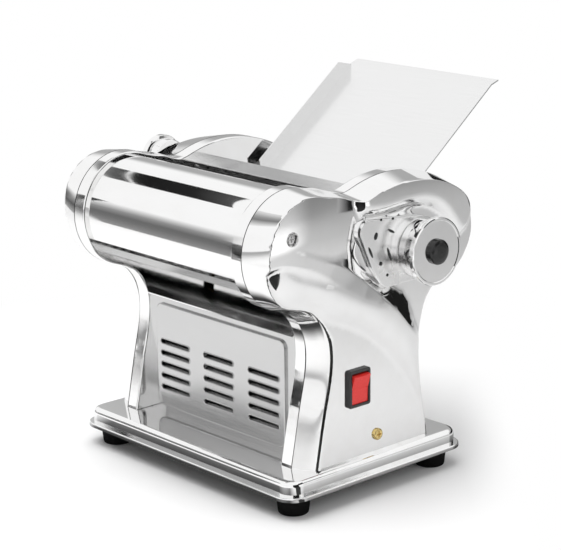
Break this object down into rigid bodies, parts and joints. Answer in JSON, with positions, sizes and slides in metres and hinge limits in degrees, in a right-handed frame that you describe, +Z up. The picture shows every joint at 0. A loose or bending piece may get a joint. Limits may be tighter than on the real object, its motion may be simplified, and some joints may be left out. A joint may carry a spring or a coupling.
{
  "type": "electric pasta maker",
  "caption": "Counter-top electric noodle machine: polished side housings, dough rollers with thickness knob, cutter rollers, chute and leaning feed plate on a footed base.",
  "frame": {"origin": "middle of the machine's footprint box, on the surface it stands on", "axes": "+X along the rollers towards the thickness knob, -Y towards the front where the noodles come out, +Z up"},
  "size_m": [0.324, 0.3294, 0.3293],
  "materials": {
    "mirror_steel": "mirror-polished stainless sheet and shells",
    "bright_sheet": "bright stainless sheet with a fine grain",
    "plate_steel": "plain steel plate",
    "bar_steel": "turned steel",
    "roller_steel": "ground and polished steel",
    "cutter_steel": "milled steel",
    "strip_steel": "spring steel strip",
    "gear_steel": "hardened gear steel, light oil",
    "bush_bronze": "sintered bronze",
    "screw_steel": "bright zinc-plated screws",
    "screw_brass": "brass-plated screws",
    "knob_chrome": "polished chrome with a satin face",
    "dial_plate": "chromed plate with filled numbers",
    "plug_black": "glossy black plastic",
    "rocker_red": "translucent red plastic, lit",
    "switch_black": "matte plastic",
    "foot_rubber": "matte black rubber",
    "motor_paint": "black enamel",
    "cast_alloy": "die-cast alloy",
    "capacitor_case": "black plastic case"
  },
  "bodies": {
    "root": {"base_tray": "mirror_steel", "right_inner_cover": "mirror_steel", "left_inner_cover": "mirror_steel", "right_housing": "mirror_steel", "left_housing": "mirror_steel", "front_cover": "mirror_steel", "chute": "mirror_steel", "top_guard": "bright_sheet", "vent_panel": "bright_sheet", "rear_panel": "bright_sheet", "bottom_plate": "bright_sheet", "cutter_guide": "bright_sheet", "right_bearing_plate": "plate_steel", "left_bearing_plate": "plate_steel", "frame_brackets": "plate_steel", "motor_cradle": "plate_steel", "tie_rods": "bar_steel", "housing_posts": "bar_steel", "plate_pins": "bar_steel", "idler_studs": "bar_steel", "drive_scraper": "strip_steel", "cutter_combs": "strip_steel", "shaft_bushes": "bush_bronze", "frame_screws": "screw_steel", "foot_fasteners": "screw_steel", "housing_screws": "screw_steel", "base_line_screws": "screw_brass", "thickness_dial": "dial_plate", "switch_body": "switch_black", "switch_bezel": "switch_black", "rubber_feet": "foot_rubber", "cord_gland": "foot_rubber", "motor_body": "motor_paint", "gearbox_case": "cast_alloy", "run_capacitor": "capacitor_case"},
    "drive_roller": {"drive_roller": "roller_steel", "drive_roller_gear": "gear_steel"},
    "carriage": {"adjuster_blocks": "gear_steel", "roller_yoke": "plate_steel", "cam_follower": "bar_steel", "adjust_scraper": "strip_steel"},
    "adjust_roller": {"adjust_roller": "roller_steel", "adjust_roller_gear": "gear_steel"},
    "knob_shaft": {"knob_shaft": "bar_steel", "thickness_cam": "gear_steel"},
    "knob": {"thickness_knob": "knob_chrome", "knob_plug": "plug_black"},
    "rocker": {"switch_rocker": "rocker_red"},
    "motor_idler": {"motor_idler_gear": "gear_steel"},
    "output": {"output_gear": "gear_steel", "output_shaft": "bar_steel"},
    "cutter_idler": {"cutter_idler_gear": "gear_steel"},
    "upper_cutter": {"upper_cutter": "cutter_steel", "upper_cutter_gear": "gear_steel"},
    "lower_cutter": {"lower_cutter": "cutter_steel", "lower_cutter_gear": "gear_steel"},
    "guard_knob": {"guard_knob": "knob_chrome", "guard_knob_plug": "plug_black", "guard_shaft": "bar_steel"},
    "feed_plate": {"feed_plate": "bright_sheet"}
  },
  "joints": [
    {"name": "roller_spin", "type": "hinge", "parent": "root", "child": "drive_roller", "pos_m": [0, -0.0277, 0.208], "axis": [1, 0, 0], "continuous": true},
    {"name": "gap_slide", "type": "slide", "parent": "root", "child": "carriage", "axis": [0, 1, 0], "range_m": [0, 0.0035]},
    {"name": "adjust_roller_spin", "type": "hinge", "parent": "carriage", "child": "adjust_roller", "pos_m": [0, 0.0148, 0.208], "axis": [1, 0, 0], "continuous": true},
    {"name": "knob_turn", "type": "hinge", "parent": "root", "child": "knob_shaft", "pos_m": [0, 0.0148, 0.208], "axis": [1, 0, 0], "range_deg": [0, 315]},
    {"name": "knob_pull", "type": "slide", "parent": "knob_shaft", "child": "knob", "axis": [1, 0, 0], "range_m": [0, 0.004], "stiffness_N_per_m": 1500, "springref_m": -0.003},
    {"name": "switch_rock", "type": "hinge", "parent": "root", "child": "rocker", "pos_m": [0.128, -0.0537, 0.0975], "axis": [0, 1, 0], "range_deg": [-18, 0]},
    {"name": "motor_idler_spin", "type": "hinge", "parent": "root", "child": "motor_idler", "pos_m": [0, -0.0201, 0.14722], "axis": [1, 0, 0], "continuous": true},
    {"name": "output_spin", "type": "hinge", "parent": "root", "child": "output", "pos_m": [0, -0.0352, 0.084], "axis": [1, 0, 0], "continuous": true},
    {"name": "cutter_idler_spin", "type": "hinge", "parent": "root", "child": "cutter_idler", "pos_m": [0, -0.0673, 0.18007], "axis": [1, 0, 0], "continuous": true},
    {"name": "upper_cutter_spin", "type": "hinge", "parent": "root", "child": "upper_cutter", "pos_m": [0, -0.1192, 0.2205], "axis": [1, 0, 0], "continuous": true},
    {"name": "lower_cutter_spin", "type": "hinge", "parent": "root", "child": "lower_cutter", "pos_m": [0, -0.0962, 0.1975], "axis": [1, 0, 0], "continuous": true},
    {"name": "guard_knob_turn", "type": "hinge", "parent": "root", "child": "guard_knob", "pos_m": [0, -0.0317, 0.251], "axis": [1, 0, 0], "range_deg": [0, 90]},
    {"name": "feed_plate_slide", "type": "slide", "parent": "root", "child": "feed_plate", "axis": [0, 0.7868, 0.6172], "range_m": [0, 0.05]}
  ],
  "couplings": [
    {"joint": "gap_slide", "follows": "knob_turn", "m_per_rad": 0.00063662},
    {"joint": "adjust_roller_spin", "follows": "roller_spin", "ratio": -1},
    {"joint": "motor_idler_spin", "follows": "roller_spin", "ratio": -0.53125},
    {"joint": "output_spin", "follows": "roller_spin", "ratio": 0.85},
    {"joint": "cutter_idler_spin", "follows": "roller_spin", "ratio": 1.2143},
    {"joint": "lower_cutter_spin", "follows": "roller_spin", "ratio": -1.3077},
    {"joint": "upper_cutter_spin", "follows": "roller_spin", "ratio": 1.3077}
  ]
}
